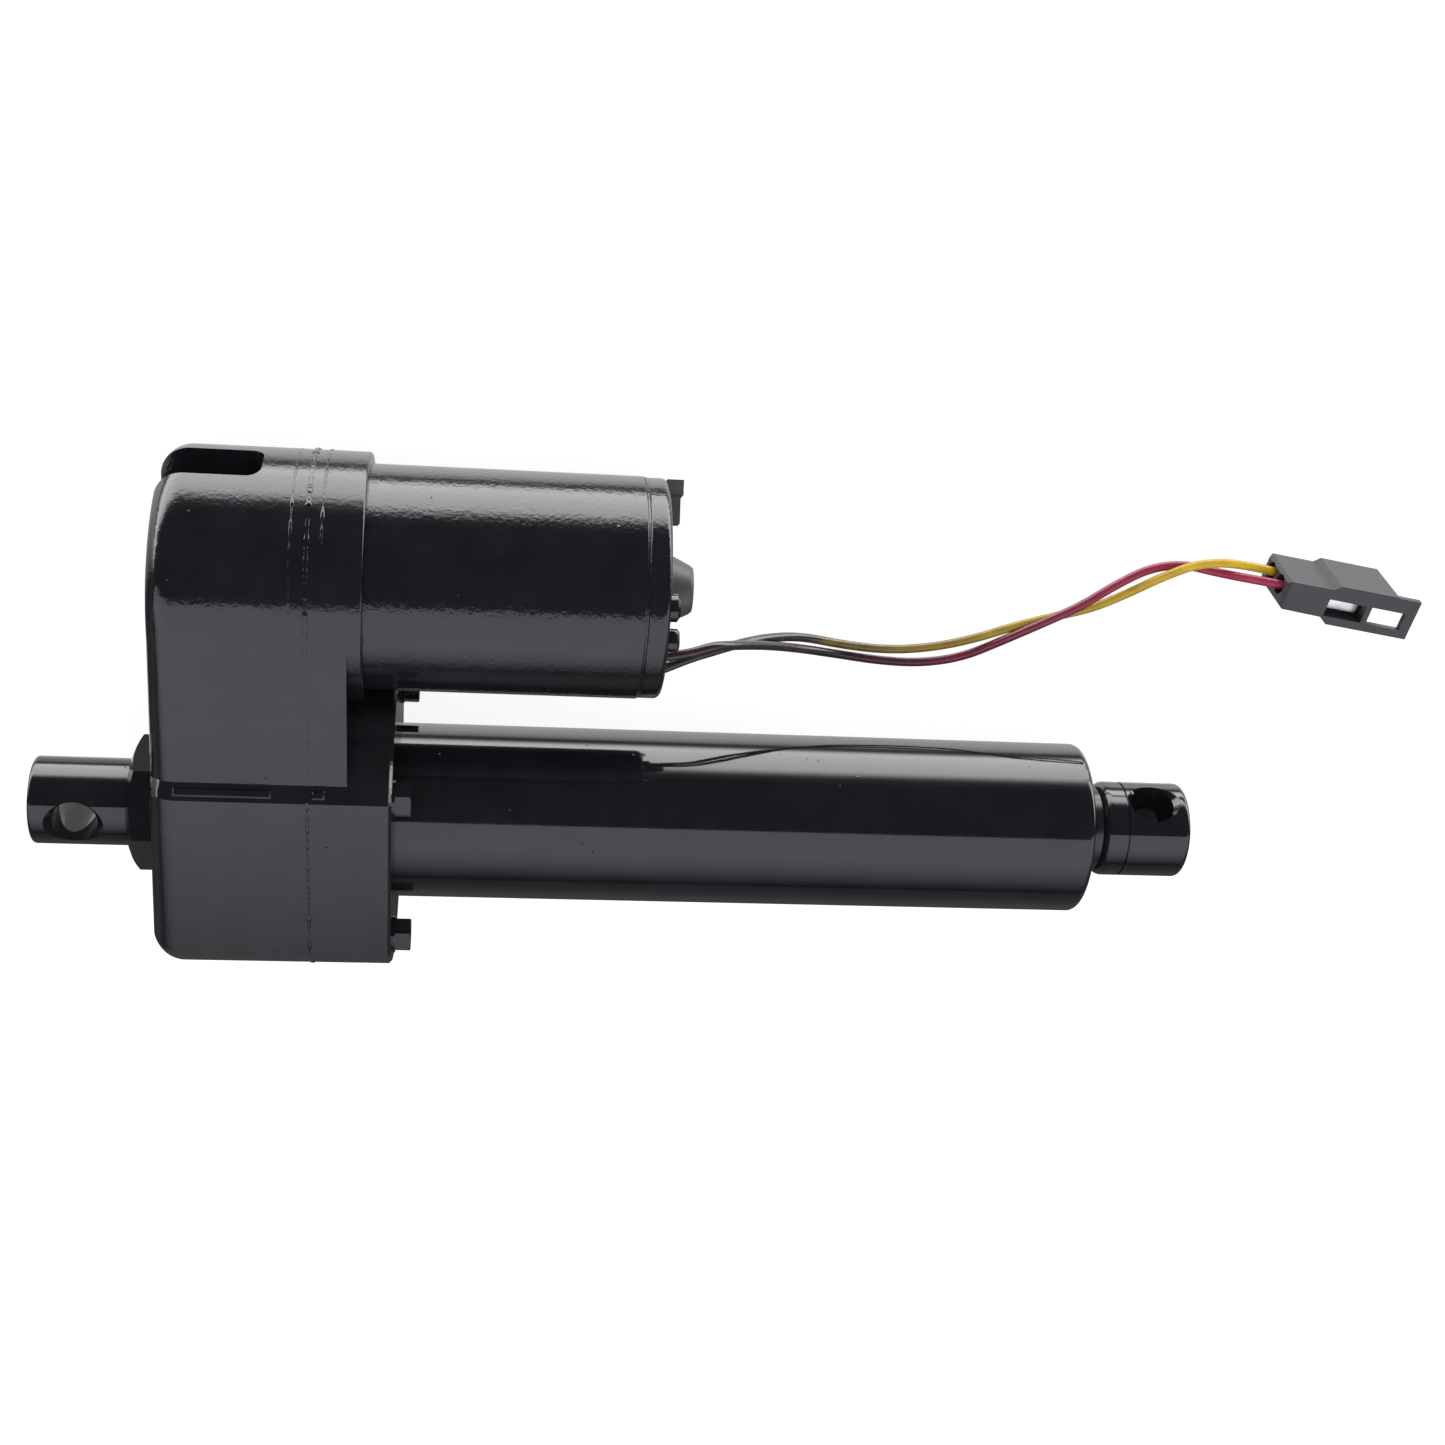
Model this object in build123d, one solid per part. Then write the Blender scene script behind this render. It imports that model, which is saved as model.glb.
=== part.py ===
from build123d import *
import math
import os

# Electric linear actuator: a motor beside the screw, a two-stage gear train in a
# cast gearbox, and a hollow rod driven by a nut. Millimetres.
# +X is the stroke axis towards the rod end, +Y points from the screw to the motor,
# and the origin is the centre of the rear pin bore. The unit lies on its side.

# ---- driving dimensions ----
STROKE = 101.6
FLOOR_Z = -37.0

PIN_BORE_R = 6.5
CLEVIS_R = 12.6
CLEVIS_END_X = -12.7
COLLAR_X = 14.9
COLLAR_FLATS = 34.0
REAR_X = 23.8
REAR_FACE_X = 24.24
REAR_LEAN = 1.52
REAR_ROUND = 8.0
SEAM_X = 67.5
SEAM_GAP = 0.8
BLOCK_FRONT_X = 78.0
SEAT_FRONT_X = 82.0
PLATE_X = 84.3
PLATE_FRONT_X = 90.0
TUBE_END_X = 293.9
ROD_END_X = 299.8
ROD_BORE_X = 315.5
ROD_TIP_X = 326.6
ROD_BORE_TURN = 70.0

WALL = 3.6
REAR_WALL = 6.2
LOWER_R = 45.0
SIDE_Z = 37.0
UPPER_R = 33.9
SLOT_Z = (-5.2, 8.9)
SLOT_FLOOR_Y = 98.5
SLOT_END_X = 54.5
PAD_TURN = 52.2
GASKET_LIP = 0.25

TUBE_R = 25.4
TUBE_WALL = 3.0
ROD_R = 12.5
ROD_BORE_R = 8.6
ROD_HEAD_R = 14.25
FIT = 0.05

BOLT_CIRCLE_R = 36.6
BOLT_TURN = 51.8
BOLT_R = 2.9
BOLT_FLATS = 9.0

# ---- gear train: all three axes lie in the plane Z = 0 ----
STAGE1_MODULE = 1.0
MOTOR_TEETH = 15
IDLER_TEETH = 56
STAGE2_MODULE = 1.25
PINION_TEETH = 15
DRIVE_TEETH = 50
IDLER_Y = STAGE2_MODULE * (PINION_TEETH + DRIVE_TEETH) / 2
MOTOR_Y = IDLER_Y + STAGE1_MODULE * (MOTOR_TEETH + IDLER_TEETH) / 2
PRESSURE_ANGLE = math.radians(20)
BACKLASH = 0.12
ADDENDUM = 0.9
DEDENDUM = 1.25
DRIVE_X = (44.0, 56.0)
IDLER_X = (60.0, 68.0)

# ---- motor ----
CAN_R = 30.8
CAN_WALL = 2.3
CAN_END_X = 155.9
BELL_R = 30.5
BELL_X = 156.3
BELL_END_X = 162.3
SHAFT_R = 4.0
CORE_X = (95.0, 138.0)

# ---- screw and nut ----
SCREW_R = 7.9
THREAD_DEPTH = 1.1
THREAD_PITCH = 5.08
THREAD_X = (94.0, 278.0)
NUT_X = (98.0, 124.0)
ROD_TUBE_X = 108.0

# ---- leads and plug ----
LEAD_R = 1.375
GROMMET_END_X = 164.6
YELLOW_EXIT = (51.2, 1.0)
RED_EXIT = (55.0, 1.0)
PLUG_AT = (349.5, 73.2, FLOOR_Z)
PLUG_TURN = -9.0
PLUG_HEIGHT = 19.0
CAVITY_HEIGHTS = (5.4, 13.5)
CAVITY_SIDE = 0.8
CAVITY_DEPTH = 5.0


def bar(start, end, radius, y=0.0, z=0.0):
    """Solid round bar along X."""
    middle = Pos((start + end) / 2, y, z)
    return middle * Rot(0, 90, 0) * Cylinder(radius, end - start)


def ring(start, end, outer, inner, y=0.0, z=0.0):
    """Round ring along X."""
    return bar(start, end, outer, y, z) - bar(start - 1, end + 1, inner, y, z)


def turned(profile, y=0.0, z=0.0):
    """Solid of revolution about an axis along X, from (x, radius) points."""
    first_x = profile[0][0]
    last_x = profile[-1][0]
    points = [(first_x, 0)] + profile + [(last_x, 0)]
    face = make_face(Polyline(*points, close=True))
    return Pos(0, y, z) * revolve(face, Axis.X)


def slab(outline, start, end):
    """Extrude a (Y, Z) outline along X."""
    return Pos(start, 0, 0) * extrude(Plane.YZ * outline, end - start)


def block(x_span, y_span, z_span):
    """Box from three spans."""
    size = [high - low for low, high in (x_span, y_span, z_span)]
    middle = [(high + low) / 2 for low, high in (x_span, y_span, z_span)]
    return Pos(*middle) * Box(*size)


def edges_at(solid, x, radius):
    """Round edges in the plane at x whose radius is the one given."""
    found = []
    for edge in solid.edges().filter_by(GeomType.CIRCLE):
        if abs(edge.center().X - x) < 0.01 and abs(edge.radius - radius) < 0.01:
            found.append(edge)
    return found


def hexagon_bar(start, end, flats, turn=0.0):
    """Hexagonal bar along X with two corners on the Z axis when turn is 0."""
    outline = RegularPolygon(flats / math.sqrt(3), 6, rotation=90 + turn)
    return slab(outline, start, end)


def involute(angle):
    return math.tan(angle) - angle


def gear(module, teeth, span, bore, y):
    """Spur gear along X with a tooth centred on +Y."""
    pitch_r = module * teeth / 2
    base_r = pitch_r * math.cos(PRESSURE_ANGLE)
    tip_r = pitch_r + ADDENDUM * module
    root_r = pitch_r - DEDENDUM * module
    half_tooth = math.pi / (2 * teeth) - BACKLASH / (2 * pitch_r)
    steps = 4
    flank = [(root_r, half_tooth + involute(PRESSURE_ANGLE))]
    low_r = max(base_r, root_r + 0.05)
    for step in range(steps + 1):
        radius = low_r + (tip_r - low_r) * step / steps
        at_radius = math.acos(min(1.0, base_r / radius))
        flank.append((radius, half_tooth + involute(PRESSURE_ANGLE) - involute(at_radius)))
    points = []
    for tooth in range(teeth):
        middle = 2 * math.pi * tooth / teeth
        for radius, half in flank:
            points.append((radius * math.cos(middle - half), radius * math.sin(middle - half)))
        for radius, half in reversed(flank):
            points.append((radius * math.cos(middle + half), radius * math.sin(middle + half)))
    outline = make_face(Polyline(*points, close=True))
    blank = Pos(0, y, 0) * slab(outline, span[0], span[1])
    return blank - bar(span[0] - 1, span[1] + 1, bore, y)


def ball_bearing(span, bore, outer, y, balls):
    """Ball bearing: two races and its balls as separate solids."""
    width = span[1] - span[0]
    race = (outer - bore) * 0.3
    middle_r = (outer + bore) / 2
    ball_r = (outer - bore) * 0.28
    groove = Pos((span[0] + span[1]) / 2, y, 0) * Rot(0, 90, 0) * Torus(middle_r, ball_r + 0.05)
    pieces = [
        ring(span[0], span[1], bore + race, bore, y) - groove,
        ring(span[0], span[1], outer, outer - race, y) - groove,
    ]
    ball_r = min(ball_r, width / 2 - 0.2)
    for number in range(balls):
        angle = 2 * math.pi * number / balls
        centre = (y + middle_r * math.cos(angle), middle_r * math.sin(angle))
        pieces.append(Pos((span[0] + span[1]) / 2, *centre) * Sphere(ball_r))
    return Compound(children=[solid for piece in pieces for solid in piece.solids()])


def group(pieces):
    """Several loose solids in one node."""
    return Compound(children=[solid for piece in pieces for solid in piece.solids()])


def bored_pin_eye(solid, x, head_r, turn):
    """Cross bore with its two countersinks; turn is from +Z towards +Y."""
    sink = head_r - math.sqrt(head_r ** 2 - PIN_BORE_R ** 2)
    tool = Cylinder(PIN_BORE_R, 3 * head_r)
    for side in (1, -1):
        cone = Cone(PIN_BORE_R, PIN_BORE_R + 1.0 + sink, 1.0 + sink)
        cone = Pos(0, 0, head_r + 1.0 - (1.0 + sink) / 2) * cone
        tool += Rot(90 - 90 * side, 0, 0) * cone
    return solid - Pos(x, 0, 0) * Rot(-turn, 0, 0) * tool


# ---- gearbox ----
def lower_outline(shrink=0.0):
    return Circle(LOWER_R - shrink) & Rectangle(3 * LOWER_R, 2 * (SIDE_Z - shrink))


def upper_outline(shrink=0.0):
    radius = UPPER_R - shrink
    column = Pos(MOTOR_Y / 2, 0) * Rectangle(MOTOR_Y, 2 * radius)
    return Pos(MOTOR_Y, 0) * Circle(radius) + column


def gearbox_outline(shrink=0.0):
    return lower_outline(shrink) + upper_outline(shrink)


def cavity_outline():
    """Inside of the gearbox, cut off below the slot's floor."""
    keep = Pos(SLOT_FLOOR_Y - 2.5 - 75, 0) * Rectangle(150, 100)
    return gearbox_outline(WALL) & keep


def side_pads(start, end):
    """Long raised pads on the rounded shoulders between the two outlines."""
    pads = []
    for side in (1, -1):
        pad = block((start, end), (LOWER_R - 1.5, LOWER_R + 0.6), (-1.2, 1.2))
        pad = chamfer(pad.faces().sort_by(Axis.Y)[-1].edges(), 0.4)
        pads.append(Rot(side * PAD_TURN, 0, 0) * pad)
    return pads[0] + pads[1]


def rear_housing():
    body = slab(gearbox_outline(), REAR_X - 2, SEAM_X - SEAM_GAP / 2)
    waste = block((-20, 0), (-80, 150), (-60, 60))
    body -= Pos(REAR_FACE_X, 0, 0) * Rot(0, 0, -REAR_LEAN) * waste
    rear_edges = body.faces().sort_by(Axis.X)[0].outer_wire().edges()
    body = fillet(rear_edges, REAR_ROUND)
    body += bar(REAR_X, REAR_X + 3, 16.5)
    body -= slab(cavity_outline(), REAR_X + REAR_WALL, SEAM_X)
    slot = block((REAR_X - 5, SLOT_END_X), (SLOT_FLOOR_Y, 120), SLOT_Z)
    corners = slot.edges().filter_by(Axis.Y).group_by(Axis.X)[-1]
    body -= fillet(corners, 4.0)
    inside_x = REAR_X + REAR_WALL
    body += ring(inside_x, inside_x + 9, 24.0, 20.0)
    body += ring(inside_x, inside_x + 8, 10.0, 7.0, IDLER_Y)
    body -= bar(REAR_X - 1, inside_x + 1, 11.0)
    return body + side_pads(32.0, 58.0)


def front_housing():
    start = SEAM_X + SEAM_GAP / 2
    inside_x = 74.0
    body = slab(lower_outline(), start, PLATE_X)
    body += slab(upper_outline(), start, BLOCK_FRONT_X)
    seat = bar(start, SEAT_FRONT_X, UPPER_R, MOTOR_Y)
    body += fillet(edges_at(seat, SEAT_FRONT_X, UPPER_R), 0.8)
    body -= slab(cavity_outline(), start - 1, inside_x)
    body -= bar(BLOCK_FRONT_X, SEAT_FRONT_X + 1, CAN_R, MOTOR_Y)
    body -= bar(inside_x - 1, BLOCK_FRONT_X + 1, 9.0, MOTOR_Y)
    body -= bar(inside_x - 1, PLATE_X + 1, 17.0)
    body += ring(69.0, inside_x, 10.0, 7.0, IDLER_Y)
    body -= bar(inside_x - 1, inside_x + 2.5, 7.0, IDLER_Y)
    for y, z in bolt_places():
        body -= bar(75.5, PLATE_X + 1, BOLT_R, y, z)
    return body + side_pads(SEAM_X + 1.2, SEAM_X + 4.6)


def housing_gasket():
    start = SEAM_X - SEAM_GAP / 2
    outline = gearbox_outline(-GASKET_LIP) & Rectangle(10 * LOWER_R, 2 * SIDE_Z)
    return slab(outline - cavity_outline(), start, start + SEAM_GAP)


def bolt_places():
    places = []
    for number in range(4):
        angle = math.radians(BOLT_TURN + 90 * number)
        places.append((BOLT_CIRCLE_R * math.cos(angle), BOLT_CIRCLE_R * math.sin(angle)))
    return places


def flange_plate():
    body = slab(lower_outline(), PLATE_X, PLATE_FRONT_X)
    front_edges = body.faces().sort_by(Axis.X)[-1].outer_wire().edges()
    body = chamfer(front_edges, 0.8)
    body -= bar(86.0, PLATE_FRONT_X + 1, TUBE_R)
    body -= bar(PLATE_X - 1, 87.0, 12.0)
    for y, z in bolt_places():
        body -= bar(PLATE_X - 1, PLATE_FRONT_X + 1, BOLT_R, y, z)
    return body


def flange_bolts():
    bolts = []
    for y, z in bolt_places():
        head = hexagon_bar(PLATE_FRONT_X + 0.8, PLATE_FRONT_X + 5.2, BOLT_FLATS, 20)
        head &= turned([(PLATE_FRONT_X, 6.0), (PLATE_FRONT_X + 4.6, 6.0), (PLATE_FRONT_X + 5.2, 4.4)])
        bolt = head + bar(PLATE_FRONT_X, PLATE_FRONT_X + 0.8, 5.3) + bar(75.5, PLATE_FRONT_X, BOLT_R)
        bolts.append(Pos(0, y, z) * bolt)
    return group(bolts)


def rear_clevis():
    body = bar(CLEVIS_END_X, REAR_X, CLEVIS_R)
    body = fillet(edges_at(body, CLEVIS_END_X, CLEVIS_R), 1.2)
    collar = hexagon_bar(COLLAR_X, REAR_X, COLLAR_FLATS)
    corner_r = COLLAR_FLATS / math.sqrt(3)
    cone = turned([(COLLAR_X, 14.6), (COLLAR_X + 2.4, corner_r + 0.4), (REAR_X, corner_r + 0.4)])
    body += collar & cone
    body += bar(REAR_X, REAR_X + REAR_WALL, 11.0)
    return bored_pin_eye(body, 0.0, CLEVIS_R, 0.0)


# ---- cover tube and rod ----
def cover_tube():
    body = ring(86.0, TUBE_END_X, TUBE_R, TUBE_R - TUBE_WALL)
    return fillet(edges_at(body, TUBE_END_X, TUBE_R), 2.2)


def tube_guide():
    body = ring(268.0, 291.5, TUBE_R - TUBE_WALL, ROD_R + FIT)
    return body - ring(276.0, 280.0, 30.0, 20.0)


def rod_wiper():
    body = ring(291.5, 293.5, TUBE_R - TUBE_WALL, ROD_R + FIT)
    nose = ring(293.5, 297.2, 13.8, ROD_R + FIT)
    nose -= block((294.5, 298.0), (-0.4, 0.4), (0.0, 20.0))
    return body + nose


def extension_tube():
    return ring(ROD_TUBE_X, ROD_END_X, ROD_R, ROD_BORE_R)


def rod_end():
    body = bar(ROD_END_X, ROD_TIP_X, ROD_HEAD_R)
    body = fillet(edges_at(body, ROD_END_X, ROD_HEAD_R), 3.0)
    body = fillet(edges_at(body, ROD_TIP_X, ROD_HEAD_R), 1.8)
    body -= ring(307.0, 307.6, ROD_HEAD_R + 1, ROD_HEAD_R - 0.6)
    body += bar(285.0, ROD_END_X, ROD_BORE_R)
    return bored_pin_eye(body, ROD_BORE_X, ROD_HEAD_R, ROD_BORE_TURN)


def drive_nut():
    body = bar(NUT_X[0], NUT_X[1], TUBE_R - TUBE_WALL - 0.5)
    body -= bar(NUT_X[0] - 1, NUT_X[1], SCREW_R + FIT)
    return body - bar(ROD_TUBE_X, NUT_X[1] + 1, ROD_R)


# ---- screw and gear train ----
def lead_screw():
    root = SCREW_R - THREAD_DEPTH
    profile = [(31.0, 10.0 - FIT), (43.0, 10.0 - FIT), (43.0, 9.0), (57.0, 9.0)]
    profile += [(57.0, 10.5), (60.0, 10.5), (60.0, 8.5 - FIT), (86.0, 8.5 - FIT), (86.0, root)]
    turns = int((THREAD_X[1] - THREAD_X[0]) / THREAD_PITCH)
    for turn in range(turns):
        start = THREAD_X[0] + turn * THREAD_PITCH
        profile += [(start, root), (start + 0.6, SCREW_R), (start + 3.0, SCREW_R), (start + 3.6, root)]
    profile += [(THREAD_X[1] + 2, root)]
    return turned(profile)


def drive_gear():
    wheel = gear(STAGE2_MODULE, DRIVE_TEETH, DRIVE_X, 9.0, 0.0)
    for side in (DRIVE_X[0] - 1, DRIVE_X[1] - 3):
        wheel -= ring(side, side + 4, 27.0, 15.0)
    return wheel


def idler_gear():
    wheel = gear(STAGE1_MODULE, IDLER_TEETH, IDLER_X, SHAFT_R + 2, IDLER_Y)
    for number in range(6):
        angle = math.pi / 3 * (number + 0.5)
        hole = (IDLER_Y + 17 * math.cos(angle), 17 * math.sin(angle))
        wheel -= bar(IDLER_X[0] - 1, IDLER_X[1] + 1, 5.0, *hole)
    return wheel


def idler_pinion():
    return gear(STAGE2_MODULE, PINION_TEETH, (DRIVE_X[0] - 1, DRIVE_X[1] + 1), SHAFT_R, IDLER_Y)


def idler_shaft():
    body = bar(30.5, 76.0, SHAFT_R, IDLER_Y)
    return body + ring(57.0, 68.5, SHAFT_R + 2, SHAFT_R - 1, IDLER_Y)


def idler_bushes():
    rear = ring(30.0, 38.0, 7.0, SHAFT_R + FIT, IDLER_Y)
    front = ring(69.0, 76.5, 7.0, SHAFT_R + FIT, IDLER_Y)
    return group([rear, front])


def thrust_bearing():
    return ball_bearing((30.2, 42.0), 10.0, 20.0, 0.0, 10)


def screw_bearing():
    return ball_bearing((74.0, PLATE_X), 8.5, 17.0, 0.0, 9)


# ---- motor ----
def motor_can():
    body = ring(BLOCK_FRONT_X, CAN_END_X, CAN_R, CAN_R - CAN_WALL, MOTOR_Y)
    return fillet(edges_at(body, CAN_END_X, CAN_R), 0.5)


def motor_magnets():
    arc = ring(90.0, 143.0, CAN_R - CAN_WALL, 22.6, MOTOR_Y)
    gap = block((80.0, 150.0), (MOTOR_Y - 40, MOTOR_Y + 40), (-6.0, 6.0))
    return group([arc - gap])


def motor_end_bell():
    body = turned([(CAN_END_X, 28.4), (BELL_X, 28.4), (BELL_X, BELL_R), (BELL_END_X, BELL_R)], MOTOR_Y)
    body = fillet(edges_at(body, BELL_END_X, BELL_R), 1.8)
    body = fillet(edges_at(body, BELL_X, BELL_R), 0.5)
    body -= bar(CAN_END_X - 1, BELL_END_X - 3, 27.0, MOTOR_Y)
    body += ring(156.9, BELL_END_X - 2.5, 11.0, 8.0, MOTOR_Y)
    body += bar(BELL_END_X - 0.5, BELL_END_X + 1.0, 17.0, MOTOR_Y)
    middle_y = (YELLOW_EXIT[0] + RED_EXIT[0]) / 2
    return body - bar(BELL_END_X - 4, BELL_END_X + 2, 4.6, middle_y, YELLOW_EXIT[1])


def wire_grommet():
    middle_y = (YELLOW_EXIT[0] + RED_EXIT[0]) / 2
    body = bar(BELL_END_X - 3, GROMMET_END_X, 4.6, middle_y, YELLOW_EXIT[1])
    body = fillet(edges_at(body, GROMMET_END_X, 4.6), 0.8)
    return body


def bell_lug():
    outer = block((BELL_END_X, 166.9), (25.8, 30.0), (-4.5, 4.5))
    inner = block((BELL_END_X, 166.2), (18.0, 25.8), (-3.5, 3.5))
    return Pos(0, MOTOR_Y, 0) * Rot(-31.6, 0, 0) * (outer + inner)


def end_plug():
    return turned([(BELL_END_X + 1.0, 9.9), (169.5, 6.9), (170.4, 6.2)], MOTOR_Y)


def bell_screws():
    screws = []
    for side in (1, -1):
        angle = math.radians(15.6)
        y = MOTOR_Y + side * 24.0 * math.sin(angle)
        z = side * 24.0 * math.cos(angle)
        head = turned([(BELL_END_X, 3.8), (164.3, 3.8), (165.1, 2.6)], y, z)
        screws.append(head - block((164.5, 166.0), (y - 4, y + 4), (z - 0.4, z + 0.4)))
    return group(screws)


def terminal_stud():
    return turned([(BELL_END_X, 3.2), (164.9, 3.2), (165.5, 2.6)], 72.9, 23.6)


def motor_bearings():
    front = ball_bearing((74.0, BLOCK_FRONT_X), SHAFT_R, 9.0, MOTOR_Y, 7)
    rear = ball_bearing((156.9, 159.2), SHAFT_R, 8.0, MOTOR_Y, 7)
    return group([front, rear])


def armature_shaft():
    return bar(57.5, 159.3, SHAFT_R - FIT, MOTOR_Y)


def motor_pinion():
    return gear(STAGE1_MODULE, MOTOR_TEETH, (IDLER_X[0] - 1, IDLER_X[1] + 0.8), SHAFT_R - FIT, MOTOR_Y)


def armature_core():
    body = ring(CORE_X[0], CORE_X[1], 21.8, SHAFT_R - FIT, MOTOR_Y)
    for number in range(12):
        slot = block((CORE_X[0] - 1, CORE_X[1] + 1), (14.0, 23.0), (-1.2, 1.2))
        body -= Pos(0, MOTOR_Y, 0) * Rot(30 * number, 0, 0) * slot
    return body


def armature_windings():
    front = ring(87.0, CORE_X[0], 18.5, SHAFT_R - FIT, MOTOR_Y)
    rear = ring(CORE_X[1], 146.0, 18.5, SHAFT_R - FIT, MOTOR_Y)
    front = fillet(edges_at(front, 87.0, 18.5), 3.0)
    rear = fillet(edges_at(rear, 146.0, 18.5), 3.0)
    return group([front, rear])


def commutator():
    body = ring(146.0, 155.3, 10.0, SHAFT_R - FIT, MOTOR_Y)
    for number in range(12):
        gap = block((147.0, 156.5), (8.8, 11.0), (-0.3, 0.3))
        body -= Pos(0, MOTOR_Y, 0) * Rot(30 * number + 15, 0, 0) * gap
    return body


def brush_holder():
    return ring(154.5, 156.5, 27.0, 12.0, MOTOR_Y)


def motor_brushes():
    brushes = []
    for turn in (0, 180):
        brush = block((147.8, 154.5), (10.1, 20.0), (-3.0, 3.0)) - bar(140.0, 160.0, 10.1)
        brushes.append(Pos(0, MOTOR_Y, 0) * Rot(turn, 0, 0) * brush)
    return group(brushes)


# ---- plug: along, across and up from the foot of its wire end ----
def placed_on_plug(piece):
    return Pos(*PLUG_AT) * Rot(0, 0, PLUG_TURN) * piece


def connector_housing():
    wide = [(0, -4.6), (0, 4.6), (14.6, 4.6), (16.4, 6.2), (28.4, 6.2), (28.4, -6.8), (16.4, -6.8), (14.6, -4.8)]
    body = extrude(make_face(Polyline(*wide, close=True)), PLUG_HEIGHT)
    body = chamfer(body.faces().sort_by(Axis.X)[0].outer_wire().edges(), 1.0)
    body += block((28.4, 35.6), (2.2, 6.2), (0, PLUG_HEIGHT))
    frame = block((28.4, 43.0), (-6.8, 6.0), (PLUG_HEIGHT - 2.0, PLUG_HEIGHT))
    frame -= block((28.6, 39.8), (-4.2, 1.4), (PLUG_HEIGHT - 3, PLUG_HEIGHT + 1))
    body += frame
    for height in CAVITY_HEIGHTS:
        body -= Pos(0, CAVITY_SIDE, height) * bar(-1, CAVITY_DEPTH, 3.0)
        body -= block((CAVITY_DEPTH, 27.0), (-3.4, 3.4), (height - 2.2, height + 2.2))
        body -= block((26.0, 30.0), (-3.2, 2.0), (height - 0.7, height + 0.7))
    body -= block((14.5, 26.8), (-4.2, 1.4), (CAVITY_HEIGHTS[1], PLUG_HEIGHT + 1))
    return placed_on_plug(body)


def connector_terminals():
    terminals = []
    for height in CAVITY_HEIGHTS:
        crimp = Pos(0, CAVITY_SIDE, height) * bar(CAVITY_DEPTH, 13.0, 2.0)
        neck = block((12.0, 16.0), (-1.2, 1.2), (height - 1.6, height - 0.4))
        socket = block((16.0, 26.0), (-3.0, 3.0), (height - 1.8, height + 1.6))
        socket -= block((17.0, 27.0), (-2.6, 2.6), (height - 1.0, height + 0.8))
        terminals.append(placed_on_plug(crimp + neck + socket))
    return group(terminals)


# ---- the two leads: straight runs joined by tangent arcs ----
def plug_entry(height):
    turn = math.radians(PLUG_TURN)
    x = PLUG_AT[0] + CAVITY_DEPTH * math.cos(turn) - CAVITY_SIDE * math.sin(turn)
    y = PLUG_AT[1] + CAVITY_DEPTH * math.sin(turn) + CAVITY_SIDE * math.cos(turn)
    return (x, y, FLOOR_Z + height)


YELLOW_ROUTE = [
    (GROMMET_END_X, *YELLOW_EXIT),
    (171.6, 53.4, -1.4),
    (178.0, 54.6, -3.5),
    (186.1, 52.8, -11.7),
    (195.9, 50.3, -20.9),
    (207.8, 46.8, -29.2),
    (223.0, 41.3, -34.6),
    (237.4, 39.6, -35.6),
    (251.2, 41.3, -35.6),
    (263.3, 44.8, -35.6),
    (275.1, 49.7, -35.6),
    (287.0, 53.6, -35.6),
    (298.3, 57.0, -35.6),
    (308.5, 63.4, -34.6),
    (317.2, 70.9, -31.9),
    (326.9, 76.1, -31.0),
    (340.3, 76.4, -31.5),
    plug_entry(CAVITY_HEIGHTS[0]),
]
RED_ROUTE = [
    (GROMMET_END_X, *RED_EXIT),
    (171.6, 56.2, 0.8),
    (178.0, 57.9, -1.0),
    (184.7, 55.7, -6.0),
    (195.5, 50.6, -16.0),
    (207.9, 43.8, -27.0),
    (221.8, 38.2, -34.2),
    (234.7, 35.8, -35.6),
    (247.7, 35.5, -35.6),
    (260.2, 38.1, -35.6),
    (270.5, 44.6, -34.2),
    (281.6, 52.8, -31.6),
    (293.1, 59.0, -32.3),
    (303.3, 65.4, -34.8),
    (313.4, 71.5, -35.6),
    (323.9, 73.2, -35.6),
    (332.8, 72.4, -32.8),
    (341.8, 73.5, -27.0),
    plug_entry(CAVITY_HEIGHTS[1]),
]


def lead(name, route):
    corners = [Vector(*point) for point in route]
    radii = []
    for before, here, after in zip(corners, corners[1:], corners[2:]):
        half_turn = math.radians((here - before).get_angle(after - here)) / 2
        shorter = min((here - before).length, (after - here).length)
        radii.append(0.45 * shorter / math.tan(half_turn))
    path = FilletPolyline(*corners, radius=radii)
    section = Plane(corners[0], z_dir=corners[1] - corners[0]) * Circle(LEAD_R)
    tube = sweep(section, path)
    expected = math.pi * LEAD_R ** 2 * path.length
    print(name, "length", round(path.length, 1), "smallest radius", round(min(radii), 1))
    print(name, "radii", [round(radius) for radius in radii])
    print(name, "volume ratio", round(tube.volume / expected, 4))
    return tube


NODES = {
    "rear_clevis": rear_clevis,
    "rear_housing": rear_housing,
    "housing_gasket": housing_gasket,
    "front_housing": front_housing,
    "flange_plate": flange_plate,
    "flange_bolts": flange_bolts,
    "cover_tube": cover_tube,
    "tube_guide": tube_guide,
    "rod_wiper": rod_wiper,
    "extension_tube": extension_tube,
    "rod_end": rod_end,
    "drive_nut": drive_nut,
    "lead_screw": lead_screw,
    "drive_gear": drive_gear,
    "thrust_bearing": thrust_bearing,
    "screw_bearing": screw_bearing,
    "idler_gear": idler_gear,
    "idler_pinion": idler_pinion,
    "idler_shaft": idler_shaft,
    "idler_bushes": idler_bushes,
    "motor_can": motor_can,
    "motor_magnets": motor_magnets,
    "motor_end_bell": motor_end_bell,
    "wire_grommet": wire_grommet,
    "bell_lug": bell_lug,
    "end_plug": end_plug,
    "bell_screws": bell_screws,
    "terminal_stud": terminal_stud,
    "motor_bearings": motor_bearings,
    "armature_shaft": armature_shaft,
    "motor_pinion": motor_pinion,
    "armature_core": armature_core,
    "armature_windings": armature_windings,
    "commutator": commutator,
    "brush_holder": brush_holder,
    "motor_brushes": motor_brushes,
    "connector_housing": connector_housing,
    "connector_terminals": connector_terminals,
}

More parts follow.
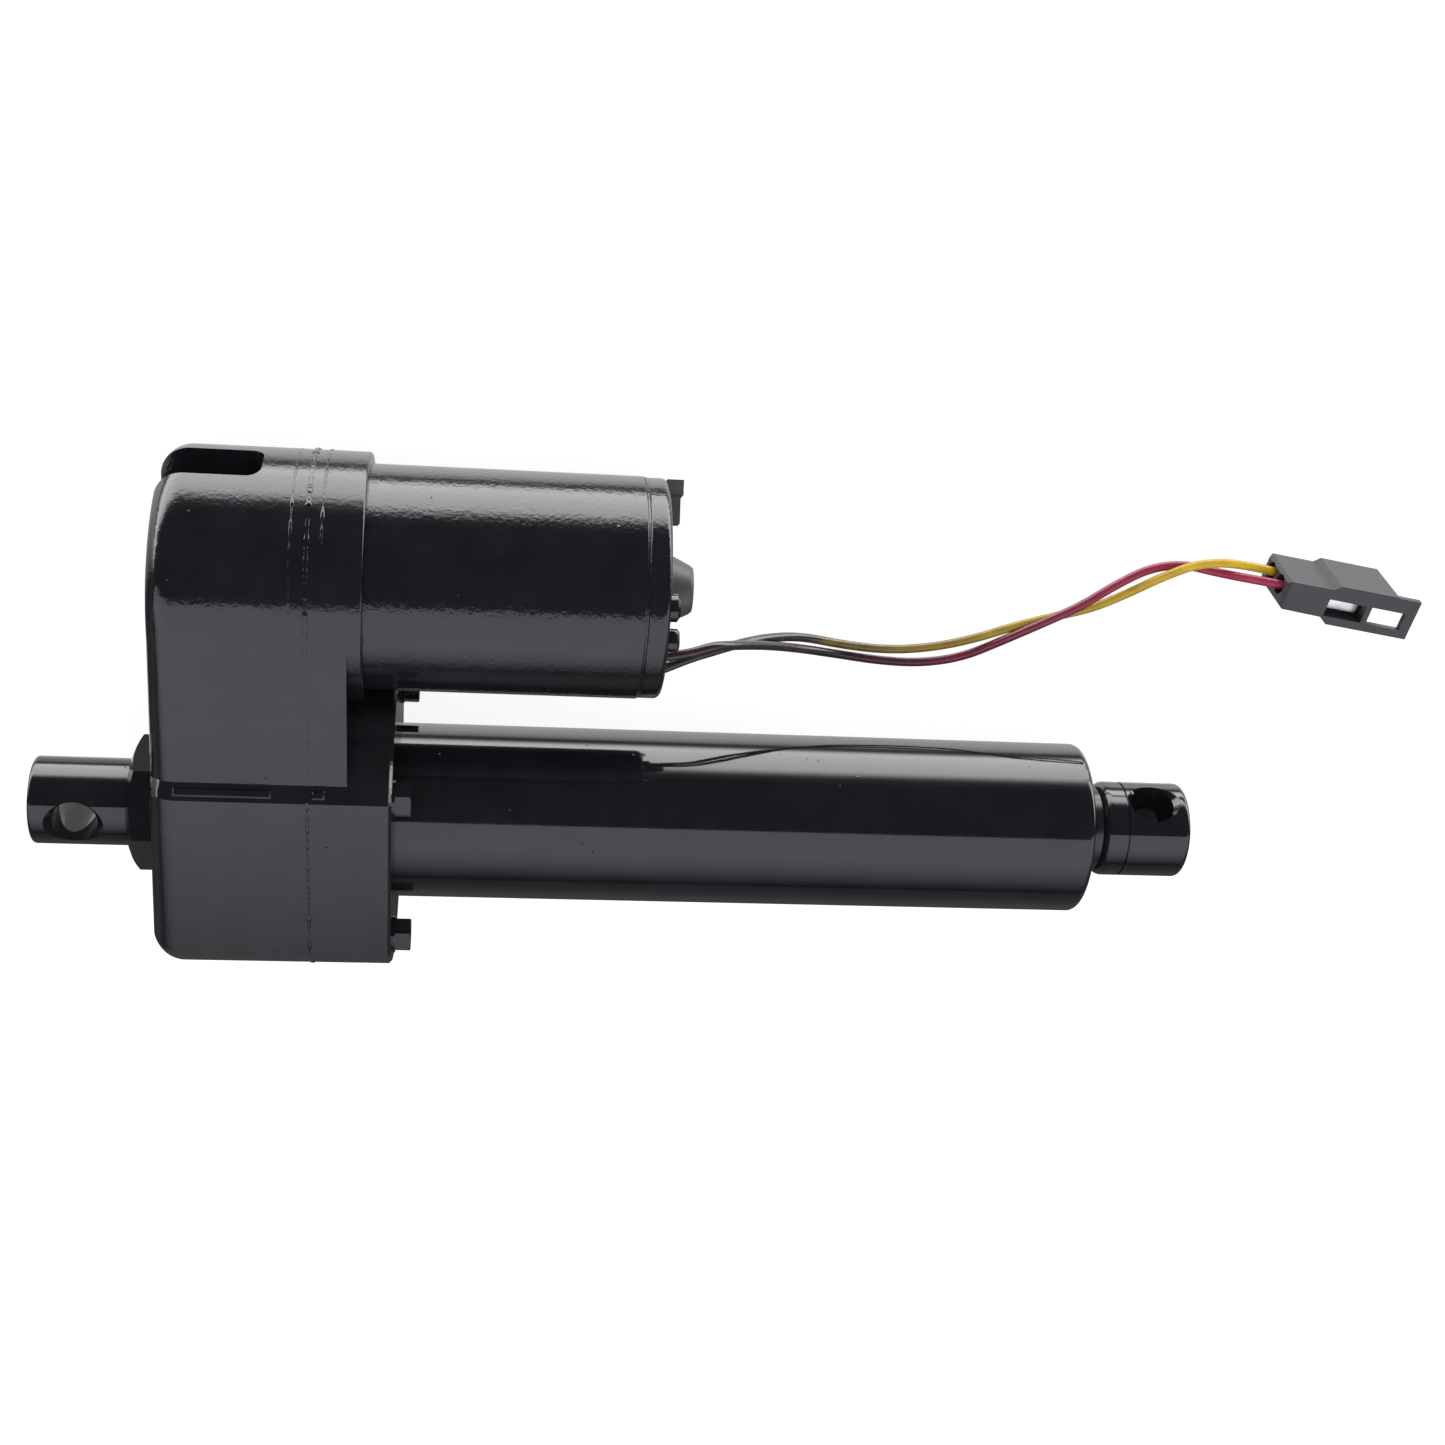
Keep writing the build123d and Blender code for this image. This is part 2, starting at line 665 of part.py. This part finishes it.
os.makedirs("parts", exist_ok=True)
for node, make in NODES.items():
    export_step(make(), f"parts/{node}.step")
for node, route in (("yellow_lead", YELLOW_ROUTE), ("red_lead", RED_ROUTE)):
    export_step(lead(node, route), f"parts/{node}.step")
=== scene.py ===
import math

import bpy
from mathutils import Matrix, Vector, noise


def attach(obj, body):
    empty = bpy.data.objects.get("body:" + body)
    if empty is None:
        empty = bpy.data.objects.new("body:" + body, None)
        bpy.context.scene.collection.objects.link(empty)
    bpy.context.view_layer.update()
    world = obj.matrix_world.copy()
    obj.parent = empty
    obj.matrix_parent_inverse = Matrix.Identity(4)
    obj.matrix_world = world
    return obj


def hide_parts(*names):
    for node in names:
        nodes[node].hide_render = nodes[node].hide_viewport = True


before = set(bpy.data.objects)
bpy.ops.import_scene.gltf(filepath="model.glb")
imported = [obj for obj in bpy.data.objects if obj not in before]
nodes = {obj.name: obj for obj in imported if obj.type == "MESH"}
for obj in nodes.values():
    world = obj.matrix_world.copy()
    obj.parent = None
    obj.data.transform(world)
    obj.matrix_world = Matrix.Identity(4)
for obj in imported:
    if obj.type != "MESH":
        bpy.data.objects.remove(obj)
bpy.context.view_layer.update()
scene = bpy.context.scene
scene.view_settings.view_transform = "Standard"
scene.view_settings.look = "None"

FLOOR_Z = -0.037
MOTOR_Y = 0.076125
LOWER_R = 0.045
SIDE_Z = 0.037
UPPER_R = 0.0339
LEAD_DIAMETER = 0.00275
CAN_SEAM_R = 0.0305


# ---- camera ----
camera_data = bpy.data.cameras.new("camera")
camera_data.sensor_width = 36.0
camera_data.lens = 49.909
camera_data.clip_start = 0.01
camera_data.clip_end = 50.0
camera = bpy.data.objects.new("camera", camera_data)
scene.collection.objects.link(camera)
camera.location = (0.11272, 0.33344, 0.49317)
camera.rotation_euler = [math.radians(turn) for turn in (-31.66604, -4.94111, 5.23274)]
scene.camera = camera


# ---- node helpers ----
class Tree:
    """A material's node tree, with its Principled shader and its object coordinates."""

    def __init__(self, name):
        self.material = bpy.data.materials.new(name)
        self.material.use_nodes = True
        self.tree = self.material.node_tree
        self.shader = self.tree.nodes["Principled BSDF"]
        self.place = self.tree.nodes.new("ShaderNodeTexCoord").outputs["Object"]

    def node(self, kind, **settings):
        made = self.tree.nodes.new(kind)
        for key, value in settings.items():
            setattr(made, key, value)
        return made

    def join(self, source, target):
        self.tree.links.new(source, target)

    def scaled(self, scale):
        mapping = self.node("ShaderNodeMapping")
        mapping.inputs["Scale"].default_value = scale
        self.join(self.place, mapping.inputs["Vector"])
        return mapping.outputs["Vector"]

    def noise(self, scale, detail=2.0, rough=0.5, stretch=None, distortion=0.0):
        made = self.node("ShaderNodeTexNoise")
        made.inputs["Scale"].default_value = scale
        made.inputs["Detail"].default_value = detail
        made.inputs["Roughness"].default_value = rough
        made.inputs["Distortion"].default_value = distortion
        self.join(self.scaled(stretch) if stretch else self.place, made.inputs["Vector"])
        return made.outputs["Fac"]

    def span(self, value, low, high, to_low, to_high):
        made = self.node("ShaderNodeMapRange")
        for key, number in (("From Min", low), ("From Max", high), ("To Min", to_low), ("To Max", to_high)):
            made.inputs[key].default_value = number
        self.join(value, made.inputs["Value"])
        return made.outputs["Result"]

    def math(self, operation, first, second):
        made = self.node("ShaderNodeMath", operation=operation)
        for socket, value in zip(made.inputs, (first, second)):
            if isinstance(value, (int, float)):
                socket.default_value = value
            else:
                self.join(value, socket)
        return made.outputs["Value"]

    def blend(self, factor, first, second):
        made = self.node("ShaderNodeMix", data_type="RGBA")
        self.join(factor, made.inputs["Factor"])
        for socket, value in ((made.inputs["A"], first), (made.inputs["B"], second)):
            if isinstance(value, tuple):
                socket.default_value = (*value, 1.0)
            else:
                self.join(value, socket)
        return made.outputs["Result"]

    def bump(self, height, distance, below=None):
        made = self.node("ShaderNodeBump")
        made.inputs["Strength"].default_value = 1.0
        made.inputs["Distance"].default_value = distance
        self.join(height, made.inputs["Height"])
        if below is not None:
            self.join(below, made.inputs["Normal"])
        return made.outputs["Normal"]


def black_coat(name, peel, wave, tone=(0.0105, 0.0095, 0.0125), rough=(0.035, 0.075)):
    """Sprayed black enamel: orange peel, slow waviness, faint specks of dust under the film."""
    made = Tree(name)
    cloud = made.span(made.noise(90.0, 3.0), 0.35, 0.65, 0.0, 1.0)
    lighter = tuple(1.35 * part for part in tone)
    made.join(made.blend(cloud, tone, lighter), made.shader.inputs["Base Color"])
    made.join(made.span(made.noise(420.0, 2.0), 0.3, 0.7, *rough), made.shader.inputs["Roughness"])
    slow = made.bump(made.noise(110.0, 1.0), wave)
    fine = made.bump(made.noise(760.0, 2.0, 0.5, distortion=0.4), peel, slow)
    cells = made.node("ShaderNodeTexVoronoi", feature="F1")
    cells.inputs["Scale"].default_value = 190.0
    made.join(made.place, cells.inputs["Vector"])
    dust = made.span(cells.outputs["Distance"], 0.03, 0.085, 1.0, 0.0)
    chosen = made.span(made.noise(60.0, 0.0), 0.60, 0.64, 0.0, 1.0)
    made.join(made.bump(made.math("MULTIPLY", dust, chosen), 0.00012, fine), made.shader.inputs["Normal"])
    made.shader.inputs["IOR"].default_value = 1.5
    return made.material


def plastic(name, colour, rough, grain):
    """Moulded plastic with a fine spark-eroded grain."""
    made = Tree(name)
    cloud = made.span(made.noise(160.0, 3.0), 0.3, 0.7, 0.0, 1.0)
    darker = tuple(0.82 * part for part in colour)
    made.join(made.blend(cloud, darker, colour), made.shader.inputs["Base Color"])
    polish = made.span(made.noise(900.0, 2.0), 0.3, 0.7, rough - 0.05, rough + 0.06)
    made.join(polish, made.shader.inputs["Roughness"])
    made.join(made.bump(made.noise(2600.0, 2.0), grain), made.shader.inputs["Normal"])
    return made.material


def metal(name, colour, rough, stretch, depth):
    """Machined or drawn metal whose marks run as the stretch says."""
    made = Tree(name)
    marks = made.noise(1.0, 3.0, 0.6, stretch=stretch)
    stain = made.span(made.noise(140.0, 3.0), 0.35, 0.65, 0.0, 1.0)
    darker = tuple(0.78 * part for part in colour)
    made.join(made.blend(stain, darker, colour), made.shader.inputs["Base Color"])
    made.join(made.span(marks, 0.3, 0.7, rough - 0.06, rough + 0.08), made.shader.inputs["Roughness"])
    made.join(made.bump(marks, depth), made.shader.inputs["Normal"])
    made.shader.inputs["Metallic"].default_value = 1.0
    return made.material


def sprayed_rod(name, edge):
    """Hard chrome with the enamel's overspray on the end that stays outside the cover tube."""
    plating = (0.62, 0.63, 0.65)
    overspray = (0.012, 0.011, 0.014)
    made = Tree(name)
    split = made.node("ShaderNodeSeparateXYZ")
    made.join(made.place, split.inputs["Vector"])
    mottle = made.span(made.noise(700.0, 2.0), 0.3, 0.7, -0.0004, 0.0004)
    along = made.math("ADD", split.outputs["X"], mottle)
    painted = made.span(along, edge - 0.0006, edge + 0.0006, 0.0, 1.0)
    made.join(made.blend(painted, plating, overspray), made.shader.inputs["Base Color"])
    made.join(made.span(painted, 0.0, 1.0, 1.0, 0.0), made.shader.inputs["Metallic"])
    marks = made.noise(1.0, 3.0, 0.6, stretch=(3000.0, 60.0, 60.0))
    polish = made.span(marks, 0.3, 0.7, 0.08, 0.20)
    duller = made.span(painted, 0.0, 1.0, 0.0, 0.12)
    made.join(made.math("ADD", polish, duller), made.shader.inputs["Roughness"])
    made.join(made.bump(marks, 0.000002), made.shader.inputs["Normal"])
    return made.material


def insulation(name, colour, shade, clear_from, clear_to):
    """Wire insulation with black overspray that thins out away from the motor."""
    made = Tree(name)
    split = made.node("ShaderNodeSeparateXYZ")
    made.join(made.place, split.inputs["Vector"])
    along = made.span(split.outputs["X"], clear_from, clear_to, 0.0, 1.0)
    patches = made.span(made.noise(260.0, 3.0, 0.6, stretch=(0.35, 1.0, 1.0)), 0.3, 0.7, -0.12, 0.12)
    bare = made.span(made.math("ADD", along, patches), 0.0, 1.0, 0.0, 1.0)
    soft = made.span(made.noise(220.0, 2.0), 0.3, 0.7, 0.0, 1.0)
    darker = tuple(0.86 * part for part in colour)
    made.join(made.blend(bare, shade, made.blend(soft, darker, colour)), made.shader.inputs["Base Color"])
    made.join(made.span(bare, 0.0, 1.0, 0.22, 0.36), made.shader.inputs["Roughness"])
    made.join(made.bump(made.noise(1500.0, 2.0), 0.00003), made.shader.inputs["Normal"])
    return made.material


# ---- leads ----
YELLOW = [
    (0.1646, 0.0512, 0.0010), (0.1716, 0.0534, -0.0014), (0.1780, 0.0546, -0.0035),
    (0.1861, 0.0528, -0.0117), (0.1959, 0.0503, -0.0209), (0.2078, 0.0468, -0.0292),
    (0.2230, 0.0413, -0.0346), (0.2374, 0.0396, -0.0356), (0.2512, 0.0413, -0.0356),
    (0.2633, 0.0448, -0.0356), (0.2751, 0.0497, -0.0356), (0.2870, 0.0536, -0.0356),
    (0.2983, 0.0570, -0.0356), (0.3085, 0.0634, -0.0346), (0.3172, 0.0709, -0.0319),
    (0.3269, 0.0761, -0.0310), (0.3403, 0.0764, -0.0315), (0.35456, 0.07321, -0.0316),
]
RED = [
    (0.1646, 0.0550, 0.0010), (0.1716, 0.0562, 0.0008), (0.1780, 0.0579, -0.0010),
    (0.1847, 0.0557, -0.0060), (0.1955, 0.0506, -0.0160), (0.2079, 0.0438, -0.0270),
    (0.2218, 0.0382, -0.0342), (0.2347, 0.0358, -0.0356), (0.2477, 0.0355, -0.0356),
    (0.2602, 0.0381, -0.0356), (0.2705, 0.0446, -0.0342), (0.2816, 0.0528, -0.0316),
    (0.2931, 0.0590, -0.0323), (0.3033, 0.0654, -0.0348), (0.3134, 0.0715, -0.0356),
    (0.3239, 0.0732, -0.0356), (0.3328, 0.0724, -0.0328), (0.3418, 0.0735, -0.0270),
    (0.35456, 0.07321, -0.0235),
]


def lead(name, points, material, replaced):
    data = bpy.data.curves.new(name, "CURVE")
    data.dimensions = "3D"
    data.resolution_u = 12
    data.bevel_depth = LEAD_DIAMETER / 2
    data.bevel_resolution = 5
    data.use_fill_caps = True
    spline = data.splines.new("NURBS")
    spline.points.add(len(points) - 1)
    for point, place in zip(spline.points, points):
        point.co = (*place, 1.0)
    spline.order_u = 3
    spline.use_endpoint_u = True
    data.materials.append(material)
    made = bpy.data.objects.new(name, data)
    scene.collection.objects.link(made)
    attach(made, "gearbox")
    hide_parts(replaced)


yellow_skin = insulation("yellow_insulation", (0.86, 0.56, 0.02), (0.026, 0.025, 0.029), 0.205, 0.345)
red_skin = insulation("red_insulation", (0.46, 0.022, 0.085), (0.026, 0.022, 0.028), 0.215, 0.350)
lead("lead_yellow", YELLOW, yellow_skin, "yellow_lead")
lead("lead_red", RED, red_skin, "red_lead")


# ---- finishes of the CAD nodes ----
casting_paint = black_coat("casting_paint", 0.000060, 0.00004, rough=(0.10, 0.15))
can_paint = black_coat("can_paint", 0.000080, 0.00004, rough=(0.09, 0.13))
tube_paint = black_coat("tube_paint", 0.000005, 0.000010, rough=(0.06, 0.09))
eye_paint = black_coat("eye_paint", 0.000008, 0.000012, rough=(0.04, 0.07))
bolt_paint = black_coat("bolt_paint", 0.000030, 0.00002)
trim_plastic = plastic("trim_plastic", (0.085, 0.085, 0.092), 0.42, 0.00002)
grommet_rubber = plastic("grommet_rubber", (0.030, 0.030, 0.033), 0.5, 0.00002)
plug_nylon = plastic("plug_nylon", (0.036, 0.036, 0.042), 0.45, 0.00002)
guide_acetal = plastic("guide_acetal", (0.72, 0.70, 0.65), 0.4, 0.00001)
carbon = plastic("carbon", (0.02, 0.02, 0.02), 0.55, 0.00002)
ferrite = plastic("ferrite", (0.05, 0.05, 0.055), 0.6, 0.00004)
chrome = sprayed_rod("chrome", 0.2965)
turned_steel = metal("turned_steel", (0.55, 0.56, 0.57), 0.28, (2600.0, 80.0, 80.0), 0.000006)
gear_steel = metal("gear_steel", (0.40, 0.40, 0.42), 0.34, (200.0, 1200.0, 1200.0), 0.000006)
bronze = metal("bronze", (0.62, 0.42, 0.20), 0.3, (2200.0, 90.0, 90.0), 0.000006)
copper = metal("copper", (0.75, 0.34, 0.17), 0.3, (120.0, 1800.0, 1800.0), 0.00001)
tin = metal("tin", (0.74, 0.73, 0.70), 0.32, (500.0, 500.0, 500.0), 0.000006)

FINISHES = {
    casting_paint: ("rear_housing", "front_housing", "flange_plate", "housing_gasket"),
    can_paint: ("motor_can", "motor_end_bell"),
    tube_paint: ("cover_tube",),
    eye_paint: ("rear_clevis", "rod_end", "rod_wiper"),
    bolt_paint: ("flange_bolts", "bell_screws", "terminal_stud"),
    trim_plastic: ("bell_lug", "end_plug"),
    grommet_rubber: ("wire_grommet",),
    plug_nylon: ("connector_housing",),
    guide_acetal: ("tube_guide", "brush_holder"),
    carbon: ("motor_brushes",),
    ferrite: ("motor_magnets",),
    chrome: ("extension_tube",),
    turned_steel: ("lead_screw", "idler_shaft", "armature_shaft", "thrust_bearing", "screw_bearing",
                   "motor_bearings", "motor_pinion", "idler_pinion"),
    gear_steel: ("drive_gear", "idler_gear", "armature_core"),
    bronze: ("drive_nut", "idler_bushes"),
    copper: ("armature_windings", "commutator"),
    tin: ("connector_terminals",),
}
for material, names in FINISHES.items():
    for name in names:
        for slot in nodes[name].material_slots:
            slot.material = material


# ---- ridges of paint along the casting's parting lines ----
def round_stretch(centre_y, radius, turn, side=1.0):
    """A (Y, Z) point on a circle about (centre_y, 0) and its outward direction; turn is from +Y."""
    outward = (math.cos(turn), side * math.sin(turn))
    return (centre_y + radius * outward[0], radius * outward[1]), outward


def outline_point(distance):
    """The same on the gearbox's outline, by distance in metres from its top on the motor's side."""
    side = 1.0 if distance >= 0 else -1.0
    left = abs(distance)
    quarter = UPPER_R * math.pi / 2
    if left < quarter:
        return round_stretch(MOTOR_Y, UPPER_R, left / UPPER_R, side)
    left -= quarter
    join_y = math.sqrt(LOWER_R ** 2 - UPPER_R ** 2)
    if left < MOTOR_Y - join_y:
        return (MOTOR_Y - left, side * UPPER_R), (0.0, side)
    left -= MOTOR_Y - join_y
    corner_y = math.sqrt(LOWER_R ** 2 - SIDE_Z ** 2)
    start = math.atan2(UPPER_R, join_y)
    end = math.atan2(SIDE_Z, corner_y)
    if left < LOWER_R * (end - start):
        return round_stretch(0.0, LOWER_R, start + left / LOWER_R, side)
    left -= LOWER_R * (end - start)
    if left < 2 * corner_y:
        return (corner_y - left, side * SIDE_Z), (0.0, side)
    left -= 2 * corner_y
    return round_stretch(0.0, LOWER_R, min(math.pi, math.pi - end + left / LOWER_R), side)


def can_point(distance):
    """The same on the groove between the motor's can and its end bell."""
    return round_stretch(MOTOR_Y, CAN_SEAM_R, distance / CAN_SEAM_R)


def ridge(name, x, reach, width, seed, fade, outline=outline_point, wander=1.0, paint=casting_paint):
    """A beady line of paint: a tube half sunk in the surface whose width wanders."""
    step = 0.00035
    count = int((reach[1] - reach[0]) / step)
    sides = 8
    vertices = []
    faces = []
    for index in range(count + 1):
        distance = reach[0] + step * index
        (y, z), (out_y, out_z) = outline(distance)
        spot = Vector((distance * 260.0, seed, 0.0))
        blob = noise.noise(spot) + 0.7 * noise.noise(spot * 2.7)
        ends = min(1.0, (distance - reach[0]) / fade, (reach[1] - distance) / fade)
        upper = max(0.0, min(1.0, (0.075 - abs(distance)) / 0.03))
        radius = width * (0.62 + 0.38 * upper) * max(0.25, 0.8 + wander * blob) * max(ends, 0.05)
        shift = 0.00012 * noise.noise(Vector((distance * 130.0, seed + 9.0, 0.0)))
        sink = 0.35 * radius + 0.00012 * (1.0 - ends)
        for side in range(sides):
            turn = 2 * math.pi * side / sides
            height = radius * math.cos(turn) * 0.8 - sink
            vertices.append((x + shift + radius * math.sin(turn), y + out_y * height,
                             max(z + out_z * height, FLOOR_Z + 0.00005)))
    for index in range(count):
        for side in range(sides):
            following = (side + 1) % sides
            faces.append((index * sides + side, index * sides + following,
                          (index + 1) * sides + following, (index + 1) * sides + side))
    faces.append(tuple(reversed(range(sides))))
    faces.append(tuple(range(count * sides, (count + 1) * sides)))
    data = bpy.data.meshes.new(name)
    data.from_pydata(vertices, [], faces)
    data.polygons.foreach_set("use_smooth", [True] * len(faces))
    data.materials.append(paint)
    made = bpy.data.objects.new(name, data)
    scene.collection.objects.link(made)
    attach(made, "gearbox")


ridge("seam_ridge", 0.0675, (-0.098, 0.186), 0.00080, 3.0, 0.002)
ridge("rear_ridge", 0.0633, (-0.060, 0.066), 0.00040, 17.0, 0.020)
ridge("front_ridge", 0.0712, (-0.034, 0.036), 0.00045, 31.0, 0.010)
ridge("can_ridge", 0.1561, (-math.pi * CAN_SEAM_R, math.pi * CAN_SEAM_R), 0.00050, 47.0, 0.002,
      outline=can_point, wander=0.25, paint=can_paint)


# ---- floor ----
def sheet_mesh(name, corners):
    """A flat four-cornered sheet that isn't part of the object."""
    data = bpy.data.meshes.new(name)
    data.from_pydata(corners, [], [(0, 1, 2, 3)])
    made = bpy.data.objects.new(name, data)
    scene.collection.objects.link(made)
    return made


floor = sheet_mesh("floor", [(-6, -6, FLOOR_Z), (6, -6, FLOOR_Z), (6, 6, FLOOR_Z), (-6, 6, FLOOR_Z)])
paper = Tree("floor_paper")
paper_tone = paper.blend(paper.noise(5.0, 2.0), (0.36, 0.36, 0.36), (0.38, 0.38, 0.38))
paper.join(paper_tone, paper.shader.inputs["Base Color"])
paper.shader.inputs["Roughness"].default_value = 0.9
paper.shader.inputs["Specular IOR Level"].default_value = 0.0
paper.shader.inputs["Emission Color"].default_value = (1.0, 1.0, 1.0, 1.0)
paper.shader.inputs["Emission Strength"].default_value = 0.88
floor.data.materials.append(paper.material)
floor.visible_glossy = False


# ---- light ----
def area_light(name, place, target, size, watts):
    """A rectangle of light for the diffuse surfaces, which the gloss and the camera don't see."""
    data = bpy.data.lights.new(name, "AREA")
    data.shape = "RECTANGLE"
    data.size = size[0]
    data.size_y = size[1]
    data.energy = watts
    made = bpy.data.objects.new(name, data)
    made.location = place
    made.rotation_euler = (Vector(target) - Vector(place)).to_track_quat("-Z", "Y").to_euler()
    made.visible_camera = False
    made.visible_glossy = False
    scene.collection.objects.link(made)


area_light("overhead", (0.15, 0.2, 1.6), (0.15, 0.05, 0.0), (2.4, 2.4), 26.0)
area_light("behind", (0.2, 1.9, 0.9), (0.15, 0.05, 0.0), (2.4, 1.2), 12.0)
area_light("front", (0.1, -1.9, 0.9), (0.15, 0.05, 0.0), (2.4, 1.2), 10.0)

def only_reflected(sheet):
    """Leave a bright sheet to the glossy surfaces alone."""
    sheet.visible_camera = False
    sheet.visible_diffuse = False
    sheet.visible_shadow = False


# The panel that the glossy faces show, by (Y, Z) of its two long edges; it fades out towards the far one.
PANEL_NEAR = (0.073, 0.225)
PANEL_FAR = (-0.150, 0.077)
PANEL_X = (-0.6, 1.0)
PANEL_FULL_Y = -0.030
PANEL_LEVEL = 1.55
PANEL_TINT = (0.99, 0.975, 1.06)

panel = sheet_mesh("panel", [
    (PANEL_X[0], *PANEL_NEAR), (PANEL_X[1], *PANEL_NEAR), (PANEL_X[1], *PANEL_FAR), (PANEL_X[0], *PANEL_FAR),
])
glow = bpy.data.materials.new("panel_glow")
glow.use_nodes = True
glow_tree = glow.node_tree
glow_tree.nodes.clear()
glow_place = glow_tree.nodes.new("ShaderNodeTexCoord")
glow_split = glow_tree.nodes.new("ShaderNodeSeparateXYZ")
glow_fade = glow_tree.nodes.new("ShaderNodeMapRange")
glow_fade.interpolation_type = "SMOOTHSTEP"
glow_fade.inputs["From Min"].default_value = PANEL_FAR[0]
glow_fade.inputs["From Max"].default_value = PANEL_FULL_Y
glow_fade.inputs["To Min"].default_value = 0.0
glow_fade.inputs["To Max"].default_value = PANEL_LEVEL
glow_light = glow_tree.nodes.new("ShaderNodeEmission")
glow_light.inputs["Color"].default_value = (*PANEL_TINT, 1.0)
glow_out = glow_tree.nodes.new("ShaderNodeOutputMaterial")
for source, target in (
    (glow_place.outputs["Object"], glow_split.inputs["Vector"]),
    (glow_split.outputs["Y"], glow_fade.inputs["Value"]),
    (glow_fade.outputs["Result"], glow_light.inputs["Strength"]),
    (glow_light.outputs["Emission"], glow_out.inputs["Surface"]),
):
    glow_tree.links.new(source, target)
panel.data.materials.append(glow)
only_reflected(panel)

PATCH_LIFT = 0.0003
PATCH_LEVEL = 0.9


def paper_patch(name, low, high):
    """Bright paper below an eye, which the wall of its bore and its underside show."""
    height = FLOOR_Z + PATCH_LIFT
    corners = [(low[0], low[1]), (high[0], low[1]), (high[0], high[1]), (low[0], high[1])]
    patch = sheet_mesh(name, [(x, y, height) for x, y in corners])
    shine = Tree(name + "_glow")
    shine.shader.inputs["Base Color"].default_value = (0.0, 0.0, 0.0, 1.0)
    shine.shader.inputs["Specular IOR Level"].default_value = 0.0
    shine.shader.inputs["Emission Color"].default_value = (1.0, 1.0, 1.0, 1.0)
    shine.shader.inputs["Emission Strength"].default_value = PATCH_LEVEL
    patch.data.materials.append(shine.material)
    only_reflected(patch)


paper_patch("paper_patch_rear", (-0.020, -0.024), (0.022, 0.030))
paper_patch("paper_patch_rod", (0.300, -0.030), (0.335, 0.020))

# What the gloss shows all round: brightness by the angle about the stroke axis, from +Z towards +Y.
AROUND = [
    (-180, 1.35), (-165, 0.9), (-152, 0.5), (-147, 0.05), (-125, 0.12), (-105, 0.22), (-84, 0.18),
    (-60, 0.12), (-20, 0.04), (84, 0.06), (92, 0.3), (96, 1.6), (100, 5.5), (104, 8.4),
    (112, 9.0), (135, 8.8), (138.5, 6.5), (142, 2.4), (145, 0.5), (149, 0.3), (152, 0.9),
    (155, 1.7), (161, 1.95), (168, 1.9), (180, 1.35),
]
FULL_LEVEL = 10.0
BACKDROP_LEVEL = 0.97

world = bpy.data.worlds.new("studio")
scene.world = world
world.use_nodes = True
world.cycles_visibility.diffuse = False
sky = world.node_tree
sky.nodes.clear()
sky_place = sky.nodes.new("ShaderNodeTexCoord")
sky_split = sky.nodes.new("ShaderNodeSeparateXYZ")
sky_angle = sky.nodes.new("ShaderNodeMath")
sky_angle.operation = "ARCTAN2"
sky_turn = sky.nodes.new("ShaderNodeMapRange")
sky_turn.inputs["From Min"].default_value = -math.pi
sky_turn.inputs["From Max"].default_value = math.pi
sky_ramp = sky.nodes.new("ShaderNodeValToRGB")
sky_gain = sky.nodes.new("ShaderNodeMath")
sky_gain.operation = "MULTIPLY"
sky_gain.inputs[1].default_value = FULL_LEVEL
sky_path = sky.nodes.new("ShaderNodeLightPath")
sky_mix = sky.nodes.new("ShaderNodeMix")
sky_mix.inputs["B"].default_value = BACKDROP_LEVEL
sky_light = sky.nodes.new("ShaderNodeBackground")
sky_out = sky.nodes.new("ShaderNodeOutputWorld")
elements = sky_ramp.color_ramp.elements
for index, (angle, level) in enumerate(AROUND):
    position = (angle + 180) / 360
    element = elements[index] if index < 2 else elements.new(position)
    element.position = position
    element.color = (*[level / FULL_LEVEL] * 3, 1.0)
for source, target in (
    (sky_place.outputs["Generated"], sky_split.inputs["Vector"]),
    (sky_split.outputs["Y"], sky_angle.inputs[0]),
    (sky_split.outputs["Z"], sky_angle.inputs[1]),
    (sky_angle.outputs["Value"], sky_turn.inputs["Value"]),
    (sky_turn.outputs["Result"], sky_ramp.inputs["Fac"]),
    (sky_ramp.outputs["Color"], sky_gain.inputs[0]),
    (sky_path.outputs["Is Camera Ray"], sky_mix.inputs["Factor"]),
    (sky_gain.outputs["Value"], sky_mix.inputs["A"]),
    (sky_mix.outputs["Result"], sky_light.inputs["Strength"]),
    (sky_light.outputs["Background"], sky_out.inputs["Surface"]),
):
    sky.links.new(source, target)
